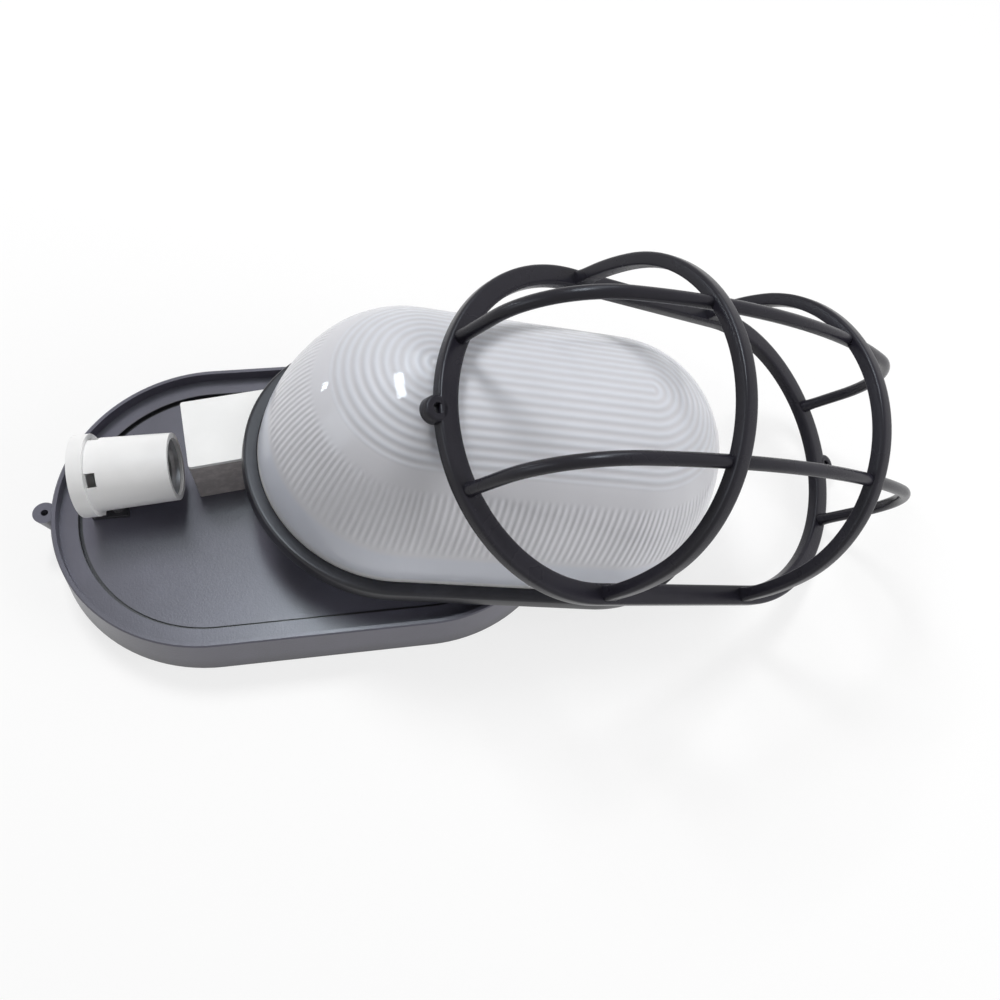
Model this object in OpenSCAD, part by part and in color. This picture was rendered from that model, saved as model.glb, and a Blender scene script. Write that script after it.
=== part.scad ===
// Oval bulkhead light, opened for lamp fitting: the base tray lies on its back,
// the glass dome leans on the tray's rim and the guard leans on the dome.
// Millimetres, +Z up, origin at the centre of the tray's back.

/* [Base tray] */
// Length of the tray over its rim
tray_l = 252; // [230:1:280]
// Width of the tray over its rim
tray_w = 152; // [140:1:170]
// Height of the tray from its back to the top of the rim
tray_h = 24; // [21:0.5:32]
// Extra half width of the outer wall at the back
tray_flare = 2.5; // [0.5:0.1:5]
// Thickness of the outer wall and rim
wall_t = 2.2; // [1.6:0.1:3.5]
// Height of the rim above the gasket ledge
rim_rise = 6; // [4:0.5:9]
// Width of the gasket ledge
ledge_w = 8.8; // [6:0.2:12]
// Drop from the ledge to the floor
floor_drop = 2; // [1:0.1:3]
// Width of the groove between the ledge and the floor
groove_w = 1.2; // [0.6:0.1:2]
// Depth of the groove below the floor
groove_d = 0.8; // [0.4:0.1:1.2]
// Thickness of the floor
floor_t = 2.5; // [1.8:0.1:4]
// Chamfer on the outside of the rim
rim_chamfer = 0.6; // [0.2:0.1:1]

/* [Guard fixing ears] */
// Distance of a guard screw from the end of the rim
ear_out = 3; // [2:0.1:5]
// Diameter of an ear at its top
ear_d = 11; // [9:0.5:15]
// Diameter of an ear at its root
ear_root_d = 5; // [3:0.5:8]
// Length of an ear down the wall
ear_l = 15; // [10:0.5:18]
// Tapped hole in an ear
ear_hole_d = 3.4; // [2.5:0.1:5]

/* [Wall fixing and cable entry] */
// Distance between the two wall screw holes
wall_pitch = 94; // [90:1:96]
// Diameter of a wall screw hole
wall_hole_d = 5.5; // [4:0.1:7]
// Diameter of the boss behind a wall screw hole
wall_boss_d = 13; // [10:0.5:18]
// Place of the cable entry along the tray
entry_x = 52; // [40:1:60]
// Diameter of the cable entry in the floor
entry_d = 14; // [10:0.5:18]
// Bore of the rubber grommet
grommet_bore_d = 8; // [6:0.5:9]
// Overhang of the grommet's lips around the entry
grommet_lip = 2.5; // [1.5:0.1:4]
// Thickness of each grommet lip
grommet_lip_t = 1.8; // [1:0.1:3]

/* [Lampholder] */
// Distance of the lampholder's back from the end of the rim
holder_in = 17.5; // [14:0.5:26]
// Lampholder axis across the tray
holder_y = 9.5; // [0:0.5:14]
// Turn of the lampholder axis away from the tray's length
holder_turn = 0; // [-6:0.5:6]
// Tip of the lampholder axis up towards its mouth
holder_tip = 4; // [0:0.5:6]
// Height of the lampholder axis above the floor
holder_z = 23; // [21.5:0.5:30]
// Diameter of the cap
cap_d = 39.5; // [36:0.5:42]
// Length of the cap
cap_l = 7; // [5:0.5:12]
// Wall of the cap
cap_t = 2.4; // [1.6:0.1:3]
// Width of the cap's moulded foot
foot_w = 24; // [18:0.5:30]
// Length of the foot's toe in front of the cap
toe_l = 10; // [8:0.5:14]
// Thickness of the toe
toe_t = 2.4; // [1.6:0.1:3]
// Diameter of the barrel at its root
barrel_d = 35; // [33:0.5:36]
// Diameter of the barrel at its mouth
barrel_mouth_d = 32.4; // [31.5:0.1:34]
// Length of the barrel in front of the cap
barrel_l = 37; // [30:0.5:45]
// Wall of the barrel at its root
barrel_t = 2.9; // [2.4:0.1:3.2]
// Diameter of the lamp opening
mouth_d = 27.4; // [26.5:0.1:28]
// Length of the retaining lip at the mouth
mouth_lip = 1.6; // [1:0.1:3]
// Width of a vent window round the barrel
window_w = 7; // [4:0.5:10]
// Length of a vent window along the barrel
window_l = 4.8; // [3:0.2:7]
// Turn of the first vent window from the top
window_turn = 52; // [40:1:60]
// Bore of the screw shell
shell_bore_d = 26.8; // [26.5:0.1:27.2]
// Thickness of the screw shell
shell_t = 0.6; // [0.4:0.1:1]
// Length of the screw shell
shell_l = 22; // [18:0.5:24]
// Pitch of the rings rolled into the screw shell
ring_pitch = 3.6; // [3.4:0.1:3.8]
// Depth of the rolled rings
ring_depth = 0.9; // [0.5:0.1:1.1]
// Thickness of the contact insert
insert_t = 7; // [5:0.5:9]
// Screws that hold the foot
foot_screw_d = 3.5; // [3:0.1:4]
// Distance between the foot screws
foot_screw_pitch = 14; // [12:0.5:16]

/* [Control gear box] */
// Length of the box
box_l = 60; // [50:1:70]
// Width of the box
box_w = 37; // [30:0.5:45]
// Height of the box
box_h = 31; // [24:0.5:36]
// Wall of the box cover
box_t = 2; // [1.4:0.1:3]
// Thickness of the box's base plate
box_base_t = 3; // [2:0.1:4]
// Gap between the lampholder's mouth and the box
box_gap = 6.5; // [4:0.5:12]
// Front left corner of the box across the tray
box_y = 5.5; // [0:0.5:8]
// Turn of the box
box_turn = 6.5; // [0:0.5:10]
// Radius of the box's upright edges
box_edge_r = 1.2; // [0.6:0.1:2]
// Diameter of a lead hole in the box
lead_hole_d = 3.5; // [2.5:0.1:5]

/* [Supply terminals] */
// Number of ways in the terminal block
ways = 3; // [2:1:4]
// Pitch of the ways
way_pitch = 9; // [8:0.5:11]
// Depth of the terminal block
block_d = 18; // [15:0.5:22]
// Height of the terminal block
block_h = 13; // [11:0.5:16]
// Width of one way's housing
way_w = 8; // [7:0.1:8.5]
// Place of the terminal block along the tray
block_x = 26; // [20:1:34]
// Place of the terminal block across the tray
block_y = 30; // [24:1:34]
// Bore through a brass clamp
clamp_bore_d = 3.4; // [2.5:0.1:4]
// Outside of a brass clamp
clamp_d = 5.6; // [4.5:0.1:6]
// Place of the earth screw across the tray
earth_y = -30; // [-36:1:-24]
// Diameter of the earth screw
earth_d = 4; // [3:0.1:5]

/* [Glass dome] */
// Rise of the crown above the gasket
glass_rise = 84; // [78:1:95]
// Radius of the dome's sides, seen from the end
glass_side_r = 118; // [105:1:150]
// Thickness of the glass
glass_t = 4; // [3:0.1:5]
// Distance of the glass inside the gasket's edge
glass_in = 6.5; // [5.5:0.1:8]
// Width of the foot flange outside the glass
flange_out = 3.6; // [2:0.1:4.5]
// Thickness of the foot flange
flange_t = 3.6; // [2.5:0.1:5]
// Pitch of the crown ribs
rib_pitch = 4.2; // [3.4:0.1:6]
// Number of crown ribs from the middle to the shoulder
rib_count = 11; // [6:1:12]
// Height of a rib inside the glass
rib_h = 0.6; // [0.3:0.1:1]
// Radius of a rib's round back
rib_r = 1.4; // [1:0.1:2]
// Pitch of the upright flutes inside the sides
flute_pitch = 3.2; // [3:0.1:6]
// Depth of a flute
flute_h = 0.5; // [0.3:0.1:0.8]
// Height of the flutes' feet above the gasket
flute_low = 20; // [14:0.5:26]
// Height of the flutes' heads above the gasket
flute_high = 58; // [50:0.5:60]

/* [Gasket] */
// Gap between the gasket and the rim
gasket_gap = 3.3; // [2:0.1:4]
// Height of the gasket
gasket_h = 8; // [7:0.1:10]
// Width of the gasket's foot
gasket_w = 8.5; // [7.5:0.1:10]
// Thickness of the gasket under the glass
gasket_sole = 2.2; // [1.5:0.1:3]
// Round of the gasket's top edge
gasket_round = 1.6; // [0.6:0.1:2]
// Fit between the gasket and the glass
gasket_fit = 0.1; // [0.05:0.05:0.3]

/* [Guard] */
// Distance of the ring's middle inside the rim
ring_in = 2.5; // [1.5:0.1:4]
// Width of the ring bar
ring_w = 9.6; // [8:0.2:12]
// Thickness of the ring bar
ring_t = 6; // [5:0.5:9]
// Chamfer of the ring and hoop bars
bar_chamfer = 1.4; // [0.5:0.1:1.8]
// Distance of each hoop from the middle
hoop_x = 45.5; // [38:0.5:50]
// Width of a hoop bar
hoop_w = 7.2; // [6:0.2:10]
// Thickness of a hoop bar
hoop_t = 6; // [5:0.5:9]
// Clearance between the hoops and the glass
guard_clear = 4.5; // [3:0.1:8]
// Distance of each long wire from the middle
wire_y = 32.3; // [26:0.1:38]
// Diameter of a long wire
wire_d = 5.8; // [5:0.1:8]
// Radius of a wire's corners
wire_corner_r = 46; // [40:1:50]
// Depth of a wire below the middle of a hoop where they cross
wire_sink = 2; // [1:0.1:3]
// Diameter of a screw lug
lug_d = 11.5; // [10:0.5:16]
// Screw hole in a lug
lug_hole_d = 4.4; // [3.6:0.1:5.5]

/* [Resting places] */
// Reach of the dome's low end from the middle of the tray
dome_reach = 202; // [190:1:215]
// Turn of the dome on the tray
dome_turn = -4; // [-8:0.5:4]
// Sideways place of the dome
dome_side = 5; // [-4:0.5:8]
// Roll of the guard on its long axis
guard_roll = 17; // [10:0.5:22]
// Reach of the guard's low end beyond the dome's low end
guard_reach = 77; // [70:1:90]
// Turn of the guard
guard_turn = 5.5; // [0:0.5:10]
// Sideways place of the guard
guard_side = -12.5; // [-20:0.5:0]
// Gap left between leaning pieces
rest_gap = 0.3; // [0.2:0.05:0.5]

/* [Hidden] */
$fn = 96;
eps = 0.01;
// Cutters run past what they cut
over = 1;
// Clearance round screws and pressed-in pieces
screw_fit = 0.1;
// A screw ends this far inside its boss
screw_short = 1;

// Tray heights and outlines, shared by what stands in the tray
straight = tray_l - tray_w;
rim_r = tray_w / 2;
ledge_z = tray_h - rim_rise;
floor_z = ledge_z - floor_drop;
under_z = floor_z - floor_t;
ear_x = tray_l / 2 + ear_out;
holder_x = holder_in - tray_l / 2;
boss_d = 9;
boss_l = 6;

// Gasket and glass outlines, as distances from the spine of the oval
seat_out = rim_r - wall_t - gasket_gap;
seat_in = seat_out - gasket_w;
glass_r = seat_out - glass_in;
flange_r = glass_r + flange_out;
flange_z = gasket_sole + gasket_fit;
seat_l = straight + 2 * seat_out;

// Two tangent arcs: a side arc standing on the base line and a crown arc
function crown_r(a, b, side_r) = (side_r ^ 2 - (side_r - a) ^ 2 - b ^ 2) / (2 * (side_r - b));
glass_crown_r = crown_r(glass_r, glass_rise, glass_side_r);
glass_crown_z = glass_rise - glass_crown_r;
glass_bend = atan2(glass_crown_z, glass_side_r - glass_r);

// Guard outline and bars
ring_r = rim_r - ring_in;
hoop_rise = glass_rise - ring_t / 2 + hoop_t / 2 + guard_clear;

// Two arcs of a bar join on a line through both of their centres. Its slope has short
// decimals, so that the ends of the two arcs meet exactly.
steep = 0.96;
slight = 0.28;
function quarter(v) = round(4 * v) / 4;

// A hoop from its foot on the ring: side arc, then crown arc
hoop_step = quarter((hoop_rise - ring_r) / (steep + slight - 1));
hoop_side_r = ring_r + steep * hoop_step;
hoop_crown_r = hoop_side_r - hoop_step;
hoop_crown_z = slight * hoop_step;

// A long wire from its foot on the ring: straight leg, corner arc, then crown arc
wire_foot = quarter(straight / 2 + sqrt(ring_r ^ 2 - wire_y ^ 2));
wire_step = quarter((wire_foot - wire_corner_r) / slight);
wire_inner = slight * wire_step;
wire_bend_r = wire_foot - wire_inner;
wire_crown_r = wire_bend_r + wire_step;
wire_cross_z = hoop_crown_z + sqrt(hoop_crown_r ^ 2 - wire_y ^ 2) - wire_sink;
wire_crown_z = quarter(wire_cross_z - sqrt(wire_crown_r ^ 2 - hoop_x ^ 2));
wire_leg = wire_crown_z + steep * wire_step;

// Lampholder places along its axis, from the back of the cap
barrel_z = cap_l - cap_t;
mouth_z = cap_l + barrel_l;
insert_r = barrel_d / 2 - barrel_t - screw_fit;
shell_r = shell_bore_d / 2 + shell_t;
shell_crest_r = shell_bore_d / 2 - ring_depth;
shell_z = mouth_z - mouth_lip - screw_fit - shell_l;
insert_z = shell_z - insert_t;
toe_screw_z = cap_l + toe_l / 2;

// Box before the lampholder's mouth
box_x = holder_x + mouth_z + box_gap;
box_top_z = floor_z + box_h;
function box_point(along, across) = [
    box_x + along * cos(box_turn) - across * sin(box_turn),
    box_y + along * sin(box_turn) + across * cos(box_turn),
    box_top_z
];

// The dome's low end is on the ground, and its lean is the steepest that
// the tray's rim or the box ask for under the gasket
steps = 40;
rim_points = [for (a = [-90 : 3 : 90])
    [straight / 2 + rim_r * cos(a), rim_r * sin(a), tray_h]];
box_points = [for (i = [0 : steps]) each [
    box_point(box_l * i / steps, box_w),
    box_point(box_l * i / steps, 0),
    box_point(box_l, box_w * i / steps)]];
seat_slack = 2;
lean_guess = 12.5;
function along_dome(p) = p.x * cos(dome_turn) + p.y * sin(dome_turn);
function across_dome(p) = p.y * cos(dome_turn) - p.x * sin(dome_turn) - dome_side;
function from_middle(p) = (along_dome(p) - dome_reach) / cos(lean_guess) + seat_l / 2;
function seat_radius(p) = norm([max(abs(from_middle(p)) - straight / 2, 0), across_dome(p)]);
function under_seat(p) = seat_radius(p) > seat_in - seat_slack && seat_radius(p) < seat_out + seat_slack;
dome_lean = max([for (p = concat(rim_points, box_points)) if (under_seat(p))
    atan((p.z + rest_gap) / (dome_reach - along_dome(p)))]);
dome_along = dome_reach - seat_l / 2 * cos(dome_lean);
dome_at = [
    dome_along * cos(dome_turn) - dome_side * sin(dome_turn),
    dome_along * sin(dome_turn) + dome_side * cos(dome_turn),
    seat_l / 2 * sin(dome_lean)
];

// Turning a point by X, then Y, then Z, and back again
function turn_x(p, a) = [p.x, p.y * cos(a) - p.z * sin(a), p.y * sin(a) + p.z * cos(a)];
function turn_y(p, a) = [p.x * cos(a) + p.z * sin(a), p.y, p.z * cos(a) - p.x * sin(a)];
function turn_z(p, a) = [p.x * cos(a) - p.y * sin(a), p.x * sin(a) + p.y * cos(a), p.z];
function guard_turned(p, lean) = turn_z(turn_y(turn_x(p, guard_roll), lean), guard_turn);
function to_dome(p) = turn_y(turn_z(p - dome_at, -dome_turn), -dome_lean);

// Distance of a point in the dome's frame from the outside of the glass and its gasket
function spine_distance(p) = norm([max(abs(p.x) - straight / 2, 0), p.y]);
function glass_gap(d, z) = atan2(z, d + glass_side_r - glass_r) < glass_bend
    ? norm([d + glass_side_r - glass_r, z]) - glass_side_r
    : norm([d, z - glass_crown_z]) - glass_crown_r;
function gasket_gap_at(d, z) = norm([max(d - seat_out, 0), max(z - gasket_h, -z, 0)]);
function dome_gap(p) = min(
    glass_gap(spine_distance(p), max(p.z - gasket_h, 0)),
    gasket_gap_at(spine_distance(p), p.z)
);

// The guard's lowest edge is on the ground, whatever its lean
function guard_slope(lean) = norm([sin(lean), cos(lean) * sin(guard_roll)]);
function guard_height(lean) = ring_t / 2 * cos(lean) * cos(guard_roll) + max(
    straight / 2 * sin(lean) + (ring_r + ring_w / 2) * guard_slope(lean),
    ear_x * sin(lean) + lug_d / 2 * guard_slope(lean)
);
function guard_spot(lean) = [
    dome_reach + guard_reach - ear_x * cos(lean), guard_side, guard_height(lean)
];

// Edges of the guard that can meet the dome: the high end of the ring, its sides, a lug and the hoops
ring_radii = [ring_r - ring_w / 2, ring_r, ring_r + ring_w / 2];
guard_edges = concat(
    [for (a = [90 : 5 : 270]) for (r = ring_radii)
        [r * cos(a) - straight / 2, r * sin(a), -ring_t / 2]],
    [for (i = [0 : 10]) for (side = [-1, 1]) for (r = ring_radii)
        [straight * (i / 10 - 0.5), side * r, -ring_t / 2]],
    [for (a = [90 : 30 : 270])
        [lug_d / 2 * cos(a) - ear_x, lug_d / 2 * sin(a), -ring_t / 2]],
    [for (x = [-hoop_x, hoop_x]) for (side = [-1, 1]) for (a = [-80 : 10 : 80])
        [x + side * hoop_w / 2,
         (hoop_crown_r - hoop_t / 2) * sin(a),
         hoop_crown_z + (hoop_crown_r - hoop_t / 2) * cos(a)]]
);
function guard_gap(lean) = min([for (p = guard_edges)
    dome_gap(to_dome(guard_turned(p, lean) + guard_spot(lean)))]);

// The guard is let down from a steep lean until it meets the dome
function let_down(low, high, turns) = turns == 0 ? high
    : guard_gap((low + high) / 2) < rest_gap
        ? let_down((low + high) / 2, high, turns - 1)
        : let_down(low, (low + high) / 2, turns - 1);
flattest_lean = 10;
steepest_lean = 50;
guard_lean = let_down(flattest_lean, steepest_lean, 14);
guard_at = guard_spot(guard_lean);

cast_grey = "#6b6b74";
rubber_black = "#25262a";
holder_white = "#f4f4f2";
box_white = "#ecebe8";
brass = "#b8923f";
steel = "#9a9da2";
glass_milk = "#cfd2d8";
guard_black = "#34353b";

// A half section, given as distance from the spine and height, carried round the oval's ends,
// each in one half turn or in equal parts of it
module oval_ends(parts = 1) {
    turn = 180 / parts;
    for (end = [0, 180])
        rotate([0, 0, end])
            translate([straight / 2, 0, 0])
                for (i = [0 : parts - 1])
                    rotate([0, 0, i * turn - 90])
                        rotate_extrude(angle = turn)
                            children();
}

module round_the_oval() {
    oval_ends() children();
    for (side = [0, 1])
        mirror([0, side, 0])
            along_straight()
                children();
}

module along_straight() {
    translate([-straight / 2, 0, 0])
        rotate([90, 0, 90])
            linear_extrude(straight)
                children();
}

module dome_place() {
    translate(dome_at)
        rotate([0, dome_lean, dome_turn])
            children();
}

module guard_place() {
    translate(guard_at)
        rotate([guard_roll, guard_lean, guard_turn])
            children();
}

// Local +Z runs along the lampholder to its mouth, local +X points down
module holder_place(tip = holder_tip) {
    translate([holder_x, holder_y, floor_z + holder_z])
        rotate([0, 90 - tip, holder_turn])
            children();
}

module box_place() {
    translate([box_x, box_y, floor_z])
        rotate([0, 0, box_turn])
            children();
}

// Cheese-head screw standing on its seat, with a slot in the head
module slotted_screw(d, l, head_d, head_t) {
    slot_w = d * 0.3;
    difference() {
        union() {
            cylinder(d = head_d, h = head_t);
            translate([0, 0, -l])
                cylinder(d = d, h = l + eps);
        }
        translate([-head_d, -slot_w / 2, head_t / 2])
            cube([2 * head_d, slot_w, head_t]);
    }
}

// Base tray
module tray_section() {
    groove_r = rim_r - wall_t - ledge_w;
    polygon([
        [0, under_z],
        [rim_r + tray_flare * (1 - under_z / tray_h) - wall_t, under_z],
        [rim_r + tray_flare - wall_t, 0],
        [rim_r + tray_flare, 0],
        [rim_r + tray_flare * rim_chamfer / tray_h, tray_h - rim_chamfer],
        [rim_r - rim_chamfer, tray_h],
        [rim_r - wall_t, tray_h],
        [rim_r - wall_t, ledge_z],
        [groove_r, ledge_z],
        [groove_r, floor_z - groove_d],
        [groove_r - groove_w, floor_z - groove_d],
        [groove_r - groove_w, floor_z],
        [0, floor_z]
    ]);
}

module ear() {
    translate([ear_x, 0, tray_h - rim_chamfer - ear_l])
        cylinder(d1 = ear_root_d, d2 = ear_d, h = ear_l);
}

module wall_holes_at() {
    for (side = [-1, 1])
        translate([entry_x + side * wall_pitch / 2, 0, 0])
            children();
}

module foot_screws_at() {
    translate([holder_x, holder_y, floor_z])
        rotate([0, 0, holder_turn])
            for (side = [-1, 1])
                translate([toe_screw_z, side * foot_screw_pitch / 2, 0])
                    children();
}

module floor_boss(d) {
    translate([0, 0, under_z - boss_l])
        cylinder(d = d, h = boss_l + floor_t / 2);
}

module floor_hole(d) {
    translate([0, 0, under_z - boss_l - eps])
        cylinder(d = d, h = boss_l + floor_t + 2 * eps);
}

module base_tray() {
    color(cast_grey)
        difference() {
            union() {
                round_the_oval() tray_section();
                for (end = [0, 180])
                    rotate([0, 0, end])
                        difference() {
                            ear();
                            translate([0, -ear_d, ledge_z - ear_l])
                                cube([rim_r + straight / 2 - wall_t / 2, 2 * ear_d, 2 * ear_l]);
                        }
                wall_holes_at()
                    cylinder(d = wall_boss_d, h = under_z + floor_t / 2);
                foot_screws_at()
                    translate([0, 0, -floor_z]) floor_boss(boss_d);
                translate([block_x, block_y, 0]) floor_boss(boss_d);
                translate([entry_x, earth_y, 0]) floor_boss(boss_d);
            }
            for (side = [-1, 1])
                translate([side * ear_x, 0, tray_h - ear_l - rim_chamfer - eps])
                    cylinder(d = ear_hole_d, h = ear_l + over);
            wall_holes_at()
                translate([0, 0, -eps])
                    cylinder(d = wall_hole_d, h = tray_h);
            translate([entry_x, 0, 0])
                cylinder(d = entry_d, h = tray_h);
            foot_screws_at()
                translate([0, 0, -floor_z]) floor_hole(foot_screw_d + screw_fit);
            translate([block_x, block_y, 0]) floor_hole(foot_screw_d + screw_fit);
            translate([entry_x, earth_y, 0]) floor_hole(earth_d + screw_fit);
        }
}

// Rubber grommet in the cable entry
module cable_grommet() {
    neck_r = entry_d / 2 - screw_fit / 2;
    lip_r = entry_d / 2 + grommet_lip;
    color(rubber_black)
        translate([entry_x, 0, 0])
            rotate_extrude()
                polygon([
                    [grommet_bore_d / 2, under_z - grommet_lip_t],
                    [lip_r, under_z - grommet_lip_t],
                    [lip_r, under_z],
                    [neck_r, under_z],
                    [neck_r, floor_z],
                    [lip_r, floor_z],
                    [lip_r - grommet_lip_t / 2, floor_z + grommet_lip_t],
                    [grommet_bore_d / 2, floor_z + grommet_lip_t]
                ]);
}

// Lampholder cap, a cup that tips up, on a moulded foot and toe that stand square
module holder_cap() {
    color(holder_white)
        difference() {
            union() {
                holder_place()
                    cylinder(d = cap_d, h = cap_l);
                holder_place(0) {
                    translate([0, -foot_w / 2, 0])
                        cube([holder_z, foot_w, cap_l]);
                    translate([holder_z - toe_t, -foot_w / 2, 0])
                        cube([toe_t, foot_w, cap_l + toe_l]);
                }
            }
            holder_place()
                translate([0, 0, cap_t])
                    cylinder(d = barrel_d + screw_fit, h = cap_l);
            foot_screws_at()
                translate([0, 0, -over])
                    cylinder(d = foot_screw_d + screw_fit, h = toe_t + 2 * over);
        }
}

// Screws through the toe into the tray
module foot_screws() {
    head_d = 6.4;
    head_t = 1.8;
    color(steel)
        foot_screws_at()
            translate([0, 0, toe_t])
                slotted_screw(foot_screw_d, toe_t + floor_t + boss_l - screw_short, head_d, head_t);
}

// Lampholder barrel, a sleeve with vent windows at its root and a lip at its mouth
module holder_barrel() {
    barrel_r = barrel_d / 2;
    color(holder_white)
        holder_place()
            difference() {
                union() {
                    translate([0, 0, barrel_z])
                        cylinder(r = barrel_r, h = cap_l - barrel_z);
                    translate([0, 0, cap_l])
                        cylinder(d1 = barrel_d, d2 = barrel_mouth_d, h = barrel_l);
                }
                translate([0, 0, barrel_z - eps])
                    cylinder(r = barrel_r - barrel_t, h = mouth_z - mouth_lip - barrel_z);
                cylinder(d = mouth_d, h = mouth_z + over);
                for (turn = [0 : 90 : 270])
                    rotate([0, 0, 180 - window_turn + turn])
                        translate([barrel_r - 2 * barrel_t, -window_w / 2, cap_l])
                            cube([4 * barrel_t, window_w, window_l]);
            }
}

// Contact insert inside the barrel
module holder_insert() {
    wire_hole_d = 3;
    wire_hole_out = 0.6 * insert_r;
    color(holder_white)
        holder_place()
            difference() {
                translate([0, 0, insert_z])
                    cylinder(r = insert_r, h = insert_t);
                for (side = [-1, 1])
                    translate([0, side * wire_hole_out, insert_z - over])
                        cylinder(d = wire_hole_d, h = insert_t + 2 * over);
            }
}

// Thin metal sleeve with rolled rings in place of the lamp's thread, and a plain rim at each end
module screw_shell() {
    rings = floor(shell_l / ring_pitch) - 1;
    rim_l = (shell_l - rings * ring_pitch) / 2;
    bends = concat(
        [[0, 0]],
        [for (i = [0 : rings - 1]) each [
            [0, rim_l + i * ring_pitch],
            [ring_depth, rim_l + (i + 0.4) * ring_pitch],
            [ring_depth, rim_l + (i + 0.6) * ring_pitch]]],
        [[0, shell_l - rim_l], [0, shell_l]]
    );
    last = len(bends) - 1;
    color(steel)
        holder_place()
            translate([0, 0, shell_z])
                rotate_extrude()
                    polygon(concat(
                        [for (b = bends) [shell_r - b.x, b.y]],
                        [for (i = [0 : last]) [shell_r - shell_t - bends[last - i].x, bends[last - i].y]]
                    ));
}

// Sprung tongue for the lamp's centre contact
module centre_contact() {
    tongue_w = 7;
    strip_t = 0.6;
    rise = 5;
    reach = 9;
    color(brass)
        holder_place()
            translate([0, tongue_w / 2, shell_z])
                rotate([90, 0, 0])
                    linear_extrude(tongue_w)
                        polygon([
                            [-reach, 0], [-reach / 2, 0], [reach / 4, rise], [reach / 2, rise],
                            [reach / 2, rise + strip_t], [reach / 4 - strip_t / 2, rise + strip_t],
                            [-reach / 2 - strip_t / 2, strip_t], [-reach, strip_t]
                        ]);
}

// Strip that feeds the screw shell
module side_contact() {
    strip_w = 5;
    strip_t = 0.6;
    lift = 8;
    inside = shell_crest_r - screw_fit;
    color(brass)
        holder_place()
            translate([inside - lift, -strip_w / 2, shell_z]) {
                cube([lift - strip_t, strip_w, strip_t]);
                translate([lift - 2 * strip_t, 0, 0])
                    cube([strip_t, strip_w, lift]);
            }
}

// Terminal screws on the back of the insert
module holder_terminal_screws() {
    head_d = 5;
    head_t = 1.4;
    head_out = 0.45 * insert_r;
    color(brass)
        holder_place()
            for (side = [-1, 1])
                translate([side * head_out, 0, insert_z])
                    mirror([0, 0, 1])
                        cylinder(d = head_d, h = head_t);
}

// Control gear box: a cover open below, on a base plate that lies on the floor
module box_outline(inset) {
    sharpest_r = 0.2;
    r = max(box_edge_r - inset, sharpest_r);
    for (x = [inset + r, box_l - inset - r])
        for (y = [inset + r, box_w - inset - r])
            translate([x, y]) circle(r);
    translate([inset + r, inset]) square([box_l - 2 * (inset + r), box_w - 2 * inset]);
    translate([inset, inset + r]) square([box_l - 2 * inset, box_w - 2 * (inset + r)]);
}

module gear_box_cover() {
    color(box_white)
        box_place()
            difference() {
                linear_extrude(box_h)
                    box_outline(0);
                translate([0, 0, -eps])
                    linear_extrude(box_h - box_t)
                        box_outline(box_t);
                for (side = [1, 2])
                    translate([-over, box_w * side / 3, box_base_t + lead_hole_d])
                        rotate([0, 90, 0])
                            cylinder(d = lead_hole_d, h = box_t + 2 * over);
            }
}

module gear_box_base() {
    color(box_white)
        box_place()
            linear_extrude(box_base_t)
                box_outline(box_t + screw_fit);
}

// Supply terminals on the floor
module block_place() {
    translate([block_x, block_y, floor_z])
        children();
}

function way_x(i) = (i - (ways - 1) / 2) * way_pitch;

module terminal_block() {
    web_h = 4;
    color(holder_white)
        block_place()
            difference() {
                union() {
                    for (i = [0 : ways - 1])
                        translate([way_x(i) - way_w / 2, -block_d / 2, 0])
                            cube([way_w, block_d, block_h]);
                    translate([way_x(0), -block_d / 4, 0])
                        cube([way_x(ways - 1) - way_x(0), block_d / 2, web_h]);
                }
                for (i = [0 : ways - 1]) {
                    translate([way_x(i), 0, block_h / 2])
                        rotate([90, 0, 0])
                            cylinder(d = clamp_d + screw_fit, h = block_d + 2 * over, center = true);
                    for (side = [-1, 1])
                        translate([way_x(i), side * block_d / 4, block_h / 2])
                            cylinder(d = clamp_bore_d + screw_fit, h = block_h);
                }
                translate([0, 0, -over])
                    cylinder(d = foot_screw_d + screw_fit, h = block_h / 2);
            }
}

module terminal_clamps() {
    clamp_in = 1;
    color(brass)
        block_place()
            for (i = [0 : ways - 1])
                translate([way_x(i), 0, block_h / 2])
                    rotate([90, 0, 0])
                        difference() {
                            cylinder(d = clamp_d, h = block_d - 2 * clamp_in, center = true);
                            cylinder(d = clamp_bore_d, h = block_d, center = true);
                        }
}

module terminal_screws() {
    screw_d = clamp_bore_d - screw_fit;
    head_in = 0.5;
    color(steel)
        block_place()
            for (i = [0 : ways - 1])
                for (side = [-1, 1])
                    translate([way_x(i), side * block_d / 4, block_h / 2 + clamp_d / 2])
                        cylinder(d = screw_d, h = block_h / 2 - clamp_d / 2 - head_in);
}

module block_screw() {
    color(steel)
        block_place()
            translate([0, 0, screw_short - floor_t - boss_l])
                cylinder(d = foot_screw_d, h = floor_t + boss_l + block_h / 2 - clamp_d / 2 - 2 * screw_short);
}

// Earth screw and its washer on the floor
washer_d = 2.4 * earth_d;
washer_t = 1;

module earth_screw() {
    head_d = 2 * earth_d;
    head_t = 0.7 * earth_d;
    color(brass)
        translate([entry_x, earth_y, floor_z + washer_t])
            slotted_screw(earth_d, floor_t + boss_l, head_d, head_t);
}

module earth_washer() {
    color(steel)
        translate([entry_x, earth_y, floor_z])
            difference() {
                cylinder(d = washer_d, h = washer_t);
                translate([0, 0, -eps])
                    cylinder(d = earth_d + screw_fit, h = washer_t + 2 * eps);
            }
}

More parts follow.
